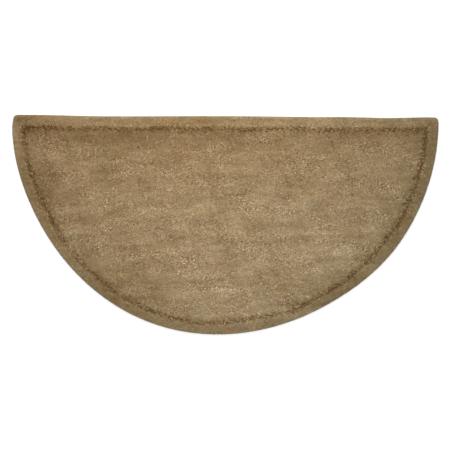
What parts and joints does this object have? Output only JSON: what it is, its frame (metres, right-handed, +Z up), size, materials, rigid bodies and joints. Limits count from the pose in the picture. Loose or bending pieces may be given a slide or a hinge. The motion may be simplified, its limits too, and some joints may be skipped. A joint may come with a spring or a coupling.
{
  "type": "half-round hearth rug",
  "caption": "Half-round cut-pile hearth rug in camel wool, straight along the hearth, with a line carved round it inside a rolled rim.",
  "frame": {"origin": "centre of the rug's box, on the surface that it lies on", "axes": "+Z up out of the pile, +X along the straight edge, +Y from the round edge towards the straight edge and the hearth"},
  "size_m": [1.118, 0.573, 0.012],
  "materials": {
    "wool_pile": "heathered cut-pile wool, matt"
  },
  "bodies": {
    "root": {"rug": "wool_pile"}
  },
  "joints": []
}
